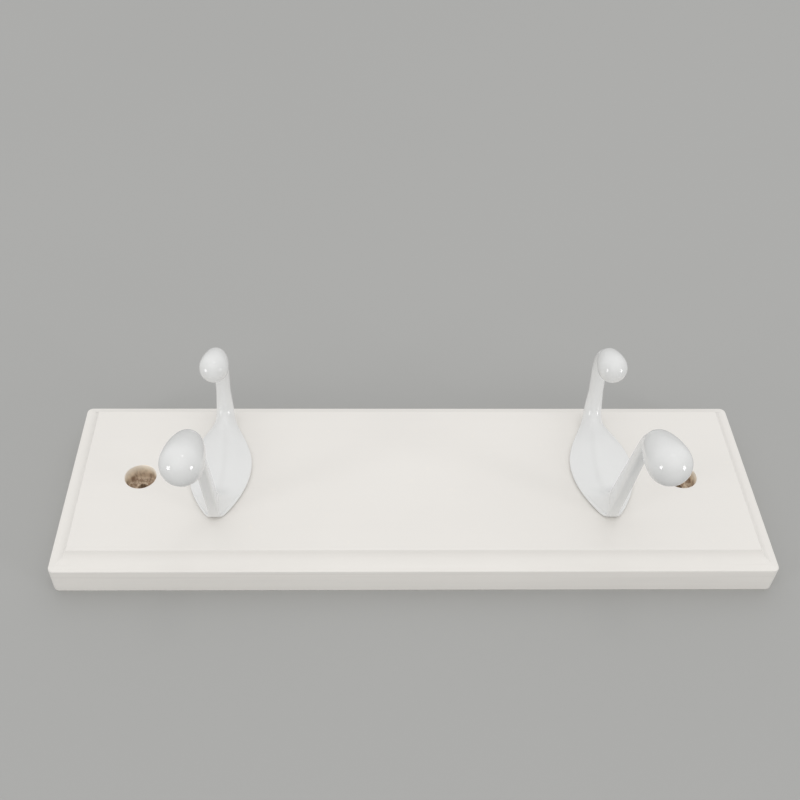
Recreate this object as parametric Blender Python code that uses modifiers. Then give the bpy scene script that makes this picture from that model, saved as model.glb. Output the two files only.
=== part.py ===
"""Wall coat rack: a coved board with two cast double hooks, screwed on from behind.

Frame in metres: the wall is the plane y = 0, the board's back lies on it and the hooks point to -Y.
X runs along the board and +Z is up. The origin is the middle of the board's back.

Each hook is drawn in its own plane with two measures: down, along the board towards its lower edge,
and out, away from the board's front face.
"""
import bpy
import bmesh
import numpy as np
from math import atan2, cos, pi, radians, sin, tan

MM = 0.001

# Board
BOARD_LENGTH = 280 * MM
BOARD_HEIGHT = 89.5 * MM
BOARD_THICKNESS = 17 * MM
BOARD_CORNER = 2.5 * MM
COVE_RUN = 6.8 * MM
COVE_DROP = 4.7 * MM

# Wall screw holes
WALL_HOLE_SPACING = 220 * MM
WALL_HOLE_BORE = 4.5 * MM
WALL_SINK_BORE = 12.7 * MM
WALL_SINK_DEPTH = 7 * MM

# Hooks
HOOK_SPACING = 155.8 * MM

# Leaf plate of a hook
LEAF_TIP = -22.4 * MM
LEAF_WIDEST = 4.2 * MM
LEAF_HEEL = 34.1 * MM
LEAF_TIP_WIDTH = 5.2 * MM
LEAF_WIDTH = 25.4 * MM
LEAF_HEEL_WIDTH = 9 * MM
LEAF_THICKNESS = 3.6 * MM
LEAF_EDGE = 1.3 * MM
TIP_RADIUS = 2 * MM
VALLEY_RADIUS = 10 * MM
HEEL_RADIUS = 8.5 * MM
CROOK_RADIUS = 9 * MM

# Hat prong, the upper one
HAT_PRONG_RISE = 74.6
HAT_ROOT = 20 * MM
HAT_PRONG_DEPTH = 8.5 * MM
HAT_PRONG_WIDTH = 4.2 * MM
HAT_NECK_DEPTH = 5.5 * MM
HAT_ELBOW_OUT = 61.2 * MM
HAT_ELBOW_RADIUS = 20 * MM
HAT_KNOB_TILT = 19.6
HAT_KNOB_REACH = 32 * MM
HAT_KNOB_WIDTH = 14.5 * MM
HAT_KNOB_NOSE = 6.7 * MM
HAT_KNOB_TAIL = 21.6 * MM

# Coat prong, the lower one
COAT_PRONG_LEAN = 10.4
COAT_PRONG_WIDTH = 6 * MM
COAT_PRONG_DEPTH = 5.6 * MM
COAT_ROOT = 3 * MM
COAT_ELBOW_OUT = 37.2 * MM
COAT_ELBOW_RADIUS = 12.5 * MM
COAT_KNOB_TILT = 11.6
COAT_KNOB_REACH = 24.7 * MM
COAT_KNOB_WIDTH = 11.3 * MM
COAT_KNOB_NOSE = 5.1 * MM
COAT_KNOB_TAIL = 13.2 * MM

# Forms of the casting: powers of its curves
LEAF_UPPER_POWER = 0.76
LEAF_LOWER_POWER = 0.8
FLARE_AT_FIN = 3
FLARE_ON_LEAF = 0.5
FIN_SQUARENESS = 3
NECK_BLEND = 6

# Shares of a section's thickness and width, of a knob's tail, and of the hat prong's section and foot
EDGE_LIFT = 0.25
EDGE_LIMIT = 0.45
EDGE_ROUNDING = 0.06
BACK_MIDDLE = 0.5
KNOB_SHARE = 0.75
HAT_ROUNDNESS = 0.6
FOOT_START = 0.75
FOOT_SPREAD = 0.08

# Shares of the plate's sections: hat prong's root, tip, valley, crook, heel and coat prong's root
PLATE_STOPS = (0, 0.16, 0.45, 0.72, 0.88, 1)
TIP_LEAD = 0.9
CROOK_LEAD = 2 * MM

# Screws that hold a hook
SCREW_SHANK = 3.5 * MM
SCREW_HEAD = 7 * MM
SCREW_HEAD_HEIGHT = 2.4 * MM
SCREW_RIM_SHARE = 0.4
SCREW_POINT = 0.8 * MM
SCREW_POINT_SHARE = 0.33
SCREW_GRIP = 2.7 * MM
SCREW_SINK_DEPTH = 5 * MM
SCREW_TOP_INSET = 6.5 * MM
SCREW_BOTTOM_INSET = 7.2 * MM

# Fits
SEAT_GAP = 0.3 * MM
SCREW_CLEARANCE = 0.3 * MM
SCREW_SINK_CLEARANCE = 0.75 * MM
CUT_MARGIN = 2 * MM

# Fineness of round forms
RING_POINTS = 13
BACK_POINTS = 4
PLATE_SECTIONS = 44
NOSE_SECTIONS = 7
TAIL_SECTIONS = 9
FOOT_SECTIONS = 8
CORNER_STEPS = 5
ARC_STEPS = 24
ROUND_STEPS = 32
COVE_STEPS = 64
DOME_STEPS = 6
SMOOTH_ANGLE = 35
TANGENT_STEP = 0.05 * MM
WELD = 0.01 * MM

HOOK_FACE = -(BOARD_THICKNESS + SEAT_GAP)


def clear_scene():
    """Remove every object of the scene."""
    for obj in list(bpy.data.objects):
        bpy.data.objects.remove(obj, do_unlink=True)


def collection(name):
    """A new collection in the scene."""
    group = bpy.data.collections.new(name)
    bpy.context.scene.collection.children.link(group)
    return group


def finish(name, colour, roughness, metallic):
    """A Principled material."""
    material = bpy.data.materials.new(name)
    material.use_nodes = True
    shader = material.node_tree.nodes["Principled BSDF"]
    shader.inputs["Base Color"].default_value = (*colour, 1.0)
    shader.inputs["Roughness"].default_value = roughness
    shader.inputs["Metallic"].default_value = metallic
    return material


def place_mesh(name, shape, group, material=None):
    """Put a bmesh in a named object."""
    mesh = bpy.data.meshes.new(name)
    shape.to_mesh(mesh)
    shape.free()
    obj = bpy.data.objects.new(name, mesh)
    group.objects.link(obj)
    if material:
        mesh.materials.append(material)
        mesh.shade_smooth()
        mesh.set_sharp_from_angle(angle=radians(SMOOTH_ANGLE))
    return obj


def cutter(name, diameter, length, place, turn, steps, group):
    """A cylinder that cuts, with its middle at a place."""
    shape = bmesh.new()
    radius = diameter / 2
    bmesh.ops.create_cone(shape, cap_ends=True, segments=steps, radius1=radius, radius2=radius, depth=length)
    obj = place_mesh(name, shape, group)
    obj.location = place
    obj.rotation_euler = turn
    obj.hide_render = True
    obj.display_type = "WIRE"
    return obj


def bore(name, x, z, diameter, y_back, y_front, group):
    """A round cutter along Y, from one depth to another."""
    middle = (x, (y_back + y_front) / 2, z)
    return cutter(name, diameter, y_back - y_front, middle, (pi / 2, 0, 0), ROUND_STEPS, group)


def cut(obj, tool):
    """Take a tool's shape out of an object."""
    step = obj.modifiers.new(tool.name, "BOOLEAN")
    step.operation = "DIFFERENCE"
    step.solver = "EXACT"
    step.object = tool


def hook_places():
    """The side's name and X of each hook."""
    return (("left", -HOOK_SPACING / 2), ("right", HOOK_SPACING / 2))


def screw_places():
    """The end's name and Z of each hook's screws."""
    return (("top", -LEAF_TIP - SCREW_TOP_INSET), ("bottom", -LEAF_HEEL + SCREW_BOTTOM_INSET))


def make_board(group, cutters, material):
    """A board with rounded corners, a cove along each front edge and its screw holes."""
    shape = bmesh.new()
    bmesh.ops.create_cube(shape, size=1)
    bmesh.ops.scale(shape, vec=(BOARD_LENGTH, BOARD_THICKNESS, BOARD_HEIGHT), verts=shape.verts)
    bmesh.ops.translate(shape, vec=(0, -BOARD_THICKNESS / 2, 0), verts=shape.verts)
    across = [e for e in shape.edges if abs(e.verts[0].co.y - e.verts[1].co.y) > BOARD_THICKNESS / 2]
    bmesh.ops.bevel(shape, geom=across, offset=BOARD_CORNER, segments=CORNER_STEPS, profile=0.5,
                    affect="EDGES")
    board = place_mesh("board", shape, group, material)

    front = -BOARD_THICKNESS
    cove = (COVE_RUN ** 2 + COVE_DROP ** 2) / COVE_DROP
    cove_y = front + COVE_DROP - cove / 2
    for side in (-1, 1):
        edge = (0, cove_y, side * BOARD_HEIGHT / 2)
        end = (side * BOARD_LENGTH / 2, cove_y, 0)
        along = (0, pi / 2, 0)
        cut(board, cutter(f"cove_edge_{side}", cove, BOARD_LENGTH + cove, edge, along, COVE_STEPS, cutters))
        cut(board, cutter(f"cove_end_{side}", cove, BOARD_HEIGHT + cove, end, (0, 0, 0), COVE_STEPS, cutters))

    outside = front - CUT_MARGIN
    for side in (-1, 1):
        x = side * WALL_HOLE_SPACING / 2
        cut(board, bore(f"wall_sink_{side}", x, 0, WALL_SINK_BORE, front + WALL_SINK_DEPTH, outside, cutters))
        cut(board, bore(f"wall_hole_{side}", x, 0, WALL_HOLE_BORE, CUT_MARGIN, outside, cutters))
    hole = SCREW_SHANK + 2 * SCREW_CLEARANCE
    sink_bore = SCREW_HEAD + 2 * SCREW_SINK_CLEARANCE
    for side, x in hook_places():
        for end, z in screw_places():
            name = f"{side}_{end}"
            cut(board, bore(f"sink_{name}", x, z, sink_bore, CUT_MARGIN, -SCREW_SINK_DEPTH, cutters))
            cut(board, bore(f"hole_{name}", x, z, hole, CUT_MARGIN, outside, cutters))
    return board


def unit(vector):
    """The direction of a vector."""
    return vector / np.hypot(*vector)


def filleted(corners, radii):
    """A line through corner points whose inner corners are arcs of the given radii."""
    points = [corners[0]]
    for before, corner, after, radius in zip(corners, corners[1:], corners[2:], radii):
        back, ahead = unit(before - corner), unit(after - corner)
        half = np.arccos(np.clip(back @ ahead, -1, 1)) / 2
        centre = corner + unit(back + ahead) * radius / sin(half)
        start = corner + back * radius / tan(half) - centre
        end = corner + ahead * radius / tan(half) - centre
        sweep = atan2(start[0] * end[1] - start[1] * end[0], start @ end)
        turn = np.linspace(0, sweep, ARC_STEPS)[:, None]
        side = np.array([-start[1], start[0]])
        points.extend(centre + start * np.cos(turn) + side * np.sin(turn))
    points.append(corners[-1])
    return np.array(points)


def lengths(path):
    """The distance along a path at each of its points."""
    return np.concatenate([[0], np.cumsum(np.hypot(*np.diff(path, axis=0).T))])


def walk(path, distance):
    """Points at given distances along a path."""
    run = lengths(path)
    return np.column_stack([np.interp(distance, run, path[:, 0]), np.interp(distance, run, path[:, 1])])


def ease(at, knots, values):
    """A smooth curve through values at knots that never overshoots them."""
    knots, values = np.asarray(knots, float), np.asarray(values, float)
    step = np.diff(knots)
    rise = np.diff(values) / step
    same = rise[:-1] * rise[1:] > 0
    total = np.where(same, rise[:-1] + rise[1:], 1)
    slope = np.concatenate([rise[:1], np.where(same, 2 * rise[:-1] * rise[1:] / total, 0), rise[-1:]])
    k = np.clip(np.searchsorted(knots, at, side="right") - 1, 0, len(step) - 1)
    t = np.clip((at - knots[k]) / step[k], 0, 1)
    return (values[k] * (1 + 2 * t) * (1 - t) ** 2 + slope[k] * step[k] * t * (1 - t) ** 2
            + values[k + 1] * t ** 2 * (3 - 2 * t) - slope[k + 1] * step[k] * t ** 2 * (1 - t))


def leaf_half_width(down):
    """Half the leaf's width: rounded from the tip to the widest place, then an S curve in to the heel."""
    up = np.clip((down - LEAF_TIP) / (LEAF_WIDEST - LEAF_TIP), 0, 1)
    low = np.clip((down - LEAF_WIDEST) / (LEAF_HEEL - LEAF_WIDEST), 0, 1)
    rounded = np.sin(pi / 2 * up) ** LEAF_UPPER_POWER
    curved = ((1 + np.cos(pi * low)) / 2) ** LEAF_LOWER_POWER
    upper = LEAF_TIP_WIDTH + (LEAF_WIDTH - LEAF_TIP_WIDTH) * rounded
    lower = LEAF_HEEL_WIDTH + (LEAF_WIDTH - LEAF_HEEL_WIDTH) * curved
    return np.where(down < LEAF_WIDEST, upper, lower) / 2


def egg(distance, width, nose, tail):
    """Radius of an egg at a distance from its tip: half an ellipse for the nose, a longer one for the tail."""
    front = np.clip((nose - distance) / nose, 0, 1)
    back = np.clip((distance - nose) / tail, 0, 1)
    return width / 2 * np.sqrt(np.clip(1 - np.where(distance < nose, front, back) ** 2, 0, 1))


def soft_max(a, b):
    """The larger of two sizes, rounded where they cross."""
    return (a ** NECK_BLEND + b ** NECK_BLEND) ** (1 / NECK_BLEND)


def knob_stations(nose, tail, end):
    """Distances from a knob's tip to the foot of its prong, close together where the egg turns in."""
    front = nose * (1 - np.cos(np.linspace(0, pi / 2, NOSE_SECTIONS)))
    back = nose + tail * np.sin(np.linspace(0, pi / 2, TAIL_SECTIONS))[1:]
    foot = np.linspace(nose + tail, end, FOOT_SECTIONS)[1:]
    return np.concatenate([front, back, foot])


def prong(tip, elbow, root, bend, width, nose, tail, neck, depth, breadth):
    """Rails and sizes of a prong from its knob's tip to its root: outer, inner, half width and roundness."""
    spine = filleted([tip, elbow, root], [bend])
    distance = knob_stations(nose, tail, lengths(spine)[-1])
    centre = walk(spine, distance)
    ahead = walk(spine, distance + TANGENT_STEP) - walk(spine, distance - TANGENT_STEP)
    ahead = ahead / np.hypot(*ahead.T)[:, None]
    side = np.column_stack([-ahead[:, 1], ahead[:, 0]])
    radius = egg(distance, width, nose, tail)
    half_depth = ease(distance, [nose, nose + tail, distance[-1]], [neck / 2, neck / 2, depth / 2])
    deep = np.where(distance > nose, soft_max(radius, half_depth), radius)[:, None]
    wide = np.where(distance > nose, soft_max(radius, breadth / 2), radius)
    round_share = ease(distance, [0, nose + KNOB_SHARE * tail, nose + tail], [1, 1, HAT_ROUNDNESS])
    return centre - side * deep, centre + side * deep, wide, round_share


def hook_corners():
    """The corner points of the hook's two rails and of its prongs' middle lines."""
    rise = np.array([-cos(radians(HAT_PRONG_RISE)), sin(radians(HAT_PRONG_RISE))])
    inward = np.array([rise[1], -rise[0]])
    tip = np.array([LEAF_TIP, 0.0])
    middle = tip + inward * HAT_PRONG_DEPTH / 2
    hat_elbow = middle + rise * (HAT_ELBOW_OUT - middle[1]) / rise[1]
    hat_axis = np.array([-cos(radians(HAT_KNOB_TILT)), sin(radians(HAT_KNOB_TILT))])
    hat_root = middle + rise * HAT_ROOT
    valley = tip + inward * HAT_PRONG_DEPTH
    valley = valley + rise * (LEAF_THICKNESS - valley[1]) / rise[1]
    heel = np.array([LEAF_HEEL, 0.0])
    lean = np.array([sin(radians(COAT_PRONG_LEAN)), cos(radians(COAT_PRONG_LEAN))])
    outward = np.array([lean[1], -lean[0]])
    coat_middle = heel - outward * COAT_PRONG_DEPTH / 2
    crook = heel - outward * COAT_PRONG_DEPTH
    crook = crook + lean * (LEAF_THICKNESS - crook[1]) / lean[1]
    coat_elbow = coat_middle + lean * (COAT_ELBOW_OUT - coat_middle[1]) / lean[1]
    coat_axis = np.array([-cos(radians(COAT_KNOB_TILT)), sin(radians(COAT_KNOB_TILT))])
    root_out = LEAF_THICKNESS + CROOK_RADIUS + COAT_ROOT
    coat_root = coat_middle + lean * (root_out - coat_middle[1]) / lean[1]
    return {
        "hat": (hat_elbow + hat_axis * HAT_KNOB_REACH, hat_elbow, hat_root),
        "coat": (coat_elbow + coat_axis * COAT_KNOB_REACH, coat_elbow, coat_root),
        "inward": inward, "tip": tip, "valley": valley, "outward": outward, "heel": heel, "crook": crook,
    }


def plate(corners):
    """Rails and sizes of the leaf plate, from the hat prong's root to the coat prong's."""
    hat_root, coat_root = corners["hat"][2], corners["coat"][2]
    hat_half = corners["inward"] * HAT_PRONG_DEPTH / 2
    coat_half = corners["outward"] * COAT_PRONG_DEPTH / 2
    outer = filleted([hat_root - hat_half, corners["tip"], corners["heel"], coat_root + coat_half],
                     [TIP_RADIUS, HEEL_RADIUS])
    inner = filleted([hat_root + hat_half, corners["valley"], corners["crook"], coat_root - coat_half],
                     [VALLEY_RADIUS, CROOK_RADIUS])
    outer_run, inner_run = lengths(outer), lengths(inner)
    flat, bend, end = ARC_STEPS, ARC_STEPS + 1, 2 * ARC_STEPS
    to_valley = inner[flat, 0] - outer[flat, 0]
    to_crook = inner[bend, 0] - CROOK_LEAD - outer[flat, 0]
    outer_at = [0, (outer_run[1] + outer_run[flat]) / 2, outer_run[flat] + to_valley,
                outer_run[flat] + to_crook, (outer_run[bend] + outer_run[end]) / 2, outer_run[-1]]
    inner_at = [0, TIP_LEAD * inner_run[1], inner_run[flat],
                inner_run[bend] - CROOK_LEAD, (inner_run[bend] + inner_run[end]) / 2, inner_run[-1]]
    t = np.linspace(0, 1, PLATE_SECTIONS)
    lower = walk(outer, ease(t, PLATE_STOPS, outer_at))
    upper = walk(inner, ease(t, PLATE_STOPS, inner_at))

    root, tip, valley, crook, heel, coat = PLATE_STOPS
    hat_fin, coat_fin = HAT_PRONG_WIDTH / 2, COAT_PRONG_WIDTH / 2
    fin_end = (tip + valley) / 2
    fin = ease(t, [root, fin_end, valley, crook, coat], [hat_fin, hat_fin, 0, 0, coat_fin])
    neck = np.where(t < fin_end, hat_fin, coat_fin)
    foot = FOOT_START * tip
    on_board = ease(t, [root, foot, tip, (crook + heel) / 2, coat], [0, FOOT_SPREAD, 1, 1, 0])
    wide = neck + (leaf_half_width(lower[:, 0]) - neck) * on_board
    flare = ease(t, [root, tip, valley, coat], [FLARE_AT_FIN, FLARE_AT_FIN, FLARE_ON_LEAF, FLARE_ON_LEAF])
    round_share = ease(t, [root, foot, tip, crook, coat], [HAT_ROUNDNESS, HAT_ROUNDNESS, 0, 0, 1])
    return lower, upper, wide, fin, flare, round_share


def half_hook():
    """Points of the hook's right half: one row per section, from the hat knob's tip to the coat knob's.

    A section runs from the outer rail to the inner one. Its plate form has a flat back, a thin edge and
    a flank that falls from the edge to the fin; its round form is half an ellipse; sections mix the two.
    """
    corners = hook_corners()
    hat = prong(*corners["hat"], HAT_ELBOW_RADIUS, HAT_KNOB_WIDTH, HAT_KNOB_NOSE, HAT_KNOB_TAIL,
                HAT_NECK_DEPTH, HAT_PRONG_DEPTH, HAT_PRONG_WIDTH)
    coat = prong(*corners["coat"], COAT_ELBOW_RADIUS, COAT_KNOB_WIDTH, COAT_KNOB_NOSE, COAT_KNOB_TAIL,
                 COAT_PRONG_DEPTH, COAT_PRONG_DEPTH, COAT_PRONG_WIDTH)
    coat = [rail[::-1] for rail in coat]
    lower, upper, wide, fin, flare, round_share = plate(corners)
    outer = np.vstack([hat[0][:-1], lower, coat[1][1:]])
    inner = np.vstack([hat[1][:-1], upper, coat[0][1:]])
    wide = np.concatenate([hat[2][:-1], wide, coat[2][1:]])
    fin = np.concatenate([hat[2][:-1], fin, coat[2][1:]])
    hat_count, coat_count = len(hat[2]) - 1, len(coat[2]) - 1
    flare = np.concatenate([np.full(hat_count, flare[0]), flare, np.full(coat_count, flare[-1])])
    round_share = np.concatenate([hat[3][:-1], round_share, np.ones(coat_count)])

    thick = np.hypot(*(inner - outer).T)
    edge = np.clip(LEAF_EDGE / np.maximum(thick, WELD), 0, EDGE_LIMIT)[:, None]
    turn = np.linspace(0, pi / 2, RING_POINTS - BACK_POINTS)[None, :]
    climb = np.sin(turn) ** 2
    flank = ((wide - fin)[:, None] * np.cos(turn) ** (2 * flare[:, None])
             + fin[:, None] * (1 - climb ** FIN_SQUARENESS) ** (1 / FIN_SQUARENESS))
    back_rise = edge * np.array([0, 0, 0, EDGE_LIFT])
    back_wide = wide[:, None] * np.array([0, BACK_MIDDLE, 1 - EDGE_ROUNDING, 1])
    plate_rise = np.hstack([back_rise, edge + (1 - edge) * climb])
    plate_wide = np.hstack([back_wide, flank])
    sweep = np.linspace(-pi / 2, pi / 2, RING_POINTS)[None, :]
    share = round_share[:, None]
    rise = (1 - share) * plate_rise + share * (1 + np.sin(sweep)) / 2
    side = (1 - share) * plate_wide + share * wide[:, None] * np.cos(sweep)
    side[:, 0] = side[:, -1] = 0
    place = outer[:, None, :] + (inner - outer)[:, None, :] * rise[:, :, None]
    return np.stack([side, HOOK_FACE - place[:, :, 1], -place[:, :, 0]], axis=-1)


def make_hook(side, x, group, cutters, material):
    """A cast hook: lofted sections on one side, mirrored, with two blind screw holes in its back."""
    points = half_hook()
    shape = bmesh.new()
    rows = [[shape.verts.new(point) for point in row] for row in points]
    for row, after in zip(rows, rows[1:]):
        for a, b, c, d in zip(row, row[1:], after[1:], after):
            shape.faces.new((a, b, c, d))
    bmesh.ops.remove_doubles(shape, verts=shape.verts, dist=WELD)
    hook = place_mesh(f"hook_{side}", shape, group, material)
    hook.location.x = x
    mirror = hook.modifiers.new("other_half", "MIRROR")
    mirror.merge_threshold = WELD
    for end, z in screw_places():
        depth = HOOK_FACE - SCREW_GRIP - SCREW_POINT - SCREW_CLEARANCE
        hole = SCREW_SHANK + 2 * SCREW_CLEARANCE
        cut(hook, bore(f"tap_{side}_{end}", x, z, hole, HOOK_FACE + CUT_MARGIN, depth, cutters))
    return hook


def make_screw(name, x, z, group, material):
    """A pan-head screw, turned: its head in the back of the board and its point in the hook."""
    seat = -SCREW_SINK_DEPTH + SEAT_GAP
    shank = SCREW_SHANK / 2
    point = HOOK_FACE - SCREW_GRIP - SCREW_POINT
    rim = SCREW_HEAD_HEIGHT * SCREW_RIM_SHARE
    crown = SCREW_HEAD_HEIGHT - rim
    dome = np.linspace(0, pi / 2, DOME_STEPS)
    outline = [(SCREW_HEAD / 2 * sin(angle), seat + rim + crown * cos(angle)) for angle in dome]
    outline += [(SCREW_HEAD / 2, seat), (shank, seat), (shank, point + SCREW_POINT),
                (shank * SCREW_POINT_SHARE, point), (0, point)]
    shape = bmesh.new()
    row = [shape.verts.new((radius, 0, height)) for radius, height in outline]
    for a, b in zip(row, row[1:]):
        shape.edges.new((a, b))
    screw = place_mesh(name, shape, group, material)
    screw.location = (x, 0, z)
    screw.rotation_euler = (-pi / 2, 0, 0)
    turn = screw.modifiers.new("turned", "SCREW")
    turn.steps = turn.render_steps = ROUND_STEPS
    turn.use_merge_vertices = True
    turn.merge_threshold = WELD
    turn.use_smooth_shade = True
    return screw


def build():
    """The whole rack."""
    clear_scene()
    parts = collection("wall_coat_rack")
    cutters = collection("cutters")
    paint = finish("white_paint", (0.80, 0.78, 0.75), 0.35, 0.0)
    enamel = finish("white_enamel", (0.76, 0.76, 0.74), 0.22, 0.0)
    zinc = finish("zinc_plate", (0.62, 0.62, 0.60), 0.35, 1.0)
    make_board(parts, cutters, paint)
    for side, x in hook_places():
        make_hook(side, x, parts, cutters, enamel)
        for end, z in screw_places():
            make_screw(f"hook_screw_{side}_{end}", x, z, parts, zinc)


build()
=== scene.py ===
"""Wall coat rack: a painted board with a coved front and two cast double hooks, screwed on from behind.

Metres, in the frame of the solids: the wall is the plane y = 0, the hooks point to -Y, X runs along the
board and +Z is up. The origin is the middle of the board's back. A hook is drawn in its own plane with two
measures: down, along the board towards its lower edge, and out, away from the board's front.
"""
from math import acos, asin, atan2, cos, pi, radians, sin, sqrt, tan

import bmesh
import bpy
import numpy as np
from bpy.props import FloatProperty, FloatVectorProperty, PointerProperty
from mathutils import Matrix, Vector


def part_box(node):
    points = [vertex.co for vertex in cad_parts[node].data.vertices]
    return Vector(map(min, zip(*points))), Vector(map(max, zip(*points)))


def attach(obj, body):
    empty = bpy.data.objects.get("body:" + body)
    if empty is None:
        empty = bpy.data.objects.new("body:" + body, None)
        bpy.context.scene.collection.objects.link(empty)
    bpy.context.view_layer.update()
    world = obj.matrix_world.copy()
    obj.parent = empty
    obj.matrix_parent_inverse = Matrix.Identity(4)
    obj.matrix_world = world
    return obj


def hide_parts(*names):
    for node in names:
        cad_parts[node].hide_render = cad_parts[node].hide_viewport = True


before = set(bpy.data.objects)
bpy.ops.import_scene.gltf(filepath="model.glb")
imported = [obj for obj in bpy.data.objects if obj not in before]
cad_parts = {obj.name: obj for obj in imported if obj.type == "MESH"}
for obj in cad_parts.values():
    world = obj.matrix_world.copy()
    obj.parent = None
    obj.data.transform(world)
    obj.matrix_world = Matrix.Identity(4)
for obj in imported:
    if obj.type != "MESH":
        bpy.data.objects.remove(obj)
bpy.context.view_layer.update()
BOARD_LOW, BOARD_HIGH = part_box("board")

bl_info = {
    "name": "Wall coat rack",
    "version": (1, 0, 0),
    "blender": (4, 5, 0),
    "location": "3D View > Sidebar > Coat Rack",
    "description": "Dresses the solids of a painted coat rack with two cast double hooks",
    "category": "Object",
}

MM = 0.001
BODY = "root"
WELD = 0.001 * MM
CREASE = radians(32)

# Camera of the photograph: picture of 800 by 800, focal length and centre in its pixels
PICTURE = 800
FOCAL = 1024.43
CENTRE = (372.34, 472.74)
CAMERA_PLACE = (21.71 * MM, -325.40 * MM, 280.24 * MM)
CAMERA_DIP = radians(47.5305)
CAMERA_YAW = radians(-1.1646)
CAMERA_ROLL = radians(0.8326)
SENSOR = 36

# Forms of the casting: powers of its curves and shares of its sections
LEAF_UPPER_POWER = 0.82
LEAF_LOWER_POWER = 0.8
FLARE_AT_FIN = 0.9
FLARE_ON_LEAF = 0.5
FIN_SQUARENESS = 3
NECK_BLEND = 6
EGG_BLEND = 0.2
EDGE_LIMIT = 0.45
ROUNDING_LIMIT = 0.72
KNOB_SHARE = 0.75
HAT_ROUNDNESS = 0.2
FOOT_START = 0.75
FOOT_SPREAD = 0.08
PLATE_STOPS = (0, 0.16, 0.45, 0.72, 0.88, 1)
TIP_LEAD = 0.9
CROOK_LEAD = 2 * MM

# Forms of the bores and the screws: shares of their sizes, and powers and slopes of curves
WALL_WINDOW = 0.63
SCREW_WINDOW = 0.7
FLOOR_DEPTH = 0.95
HEAD_POWER = 0.8
RIM_SHARE = 0.4
RIM_FOOT = 0.12
RIM_TUCK = 0.96
CROSS_REACH = 0.32
CROSS_END = 0.06
CROSS_SIDE = 0.2
CROSS_RISE = 0.55
POINT_SHARE = 0.33
THREAD_SLOPE = 3.2
THREAD_CREST = 0.3

# Raw wood in the bores: painted shade that darkens it deeper down, and painted light at the mouth
PAINTED_SHADE_WOOD = (0.22, 0.11, 0.055, 1.0)
PAINTED_LIGHT_WOOD = (0.98, 0.91, 0.81, 1.0)

# Light of the stage: where the lamps stand, and shares of the sky's strength
SIDE_LAMP_WAY = (0.83, -0.18, 0.52)
FRONT_LAMP_PLACE = (-0.1, -0.95, 0.03)
FRONT_LAMP_SHARE = 0.2
SKY_LEVEL = 0.23
SKY_FACING = 0.84
SKY_ABOVE = 0.45
SKY_BELOW = 0.35

# Fineness of the surfaces
BACK_POINTS = 9
EDGE_POINTS = 10
FLANK_POINTS = 26
NOSE_SECTIONS = 26
TAIL_SECTIONS = 40
FOOT_SECTIONS = 40
PLATE_SECTIONS = 150
ARC_STEPS = 60
CORNER_STEPS = 9
ROUND_STEPS = 8
COVE_STEPS = 24
WINDOW_CELLS = 16
WINDOW_ROWS = 5
HEAD_RINGS = 48
SHANK_ROWS = 220
SCREW_TURNS = 96
GROUND_STEPS = 9
TANGENT_STEP = 0.02 * MM


def size(name, description, millimetres):
    """A length that a user may change."""
    return FloatProperty(name=name, description=description, default=millimetres * MM, unit="LENGTH",
                         subtype="DISTANCE", precision=5)


def angle(name, description, degrees):
    """An angle that a user may change."""
    return FloatProperty(name=name, description=description, default=radians(degrees), subtype="ANGLE")


def colour(name, description, red, green, blue):
    """A colour that a user may change."""
    return FloatVectorProperty(name=name, description=description, default=(red, green, blue),
                               subtype="COLOR", size=3, min=0.0, max=1.0)


def lighting(name, description, strength, unit="NONE"):
    """A strength of light that a user may change."""
    return FloatProperty(name=name, description=description, default=strength, min=0.0, unit=unit)


class BoardSettings(bpy.types.PropertyGroup):
    """Sizes and finish of the board."""
    length: size("Length", "Along the wall", (BOARD_HIGH.x - BOARD_LOW.x) / MM)
    height: size("Height", "From the lower edge to the upper one", (BOARD_HIGH.z - BOARD_LOW.z) / MM)
    thickness: size("Thickness", "From the wall to the front face", (BOARD_HIGH.y - BOARD_LOW.y) / MM)
    corner: size("Corner", "Radius of the four upright corners", 2.5)
    cove_run: size("Cove run", "Width of the cove, seen from the front", 6.8)
    cove_drop: size("Cove drop", "Depth of the cove below the front face", 4.7)
    arris: size("Arris", "Softening of the edge between front face and cove", 0.5)
    rim: size("Rim", "Softening of the edge between cove and side", 0.6)
    back_edge: size("Back edge", "Softening of the edge against the wall", 0.8)
    hole_spacing: size("Wall hole spacing", "Between the two wall screw holes", 220)
    hole_bore: size("Wall hole bore", "Bore for a wall screw", 4.5)
    sink_bore: size("Counterbore", "Bore that takes the head of a wall screw", 12.7)
    sink_depth: size("Counterbore depth", "Depth of the counterbore", 7)
    lip: size("Lip", "Softening of the holes' edges", 0.3)
    paint: colour("Paint", "Warm white paint", 0.805, 0.780, 0.742)
    wood: colour("Bare wood", "Raw wood in the bores", 0.93, 0.82, 0.66)


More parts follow.
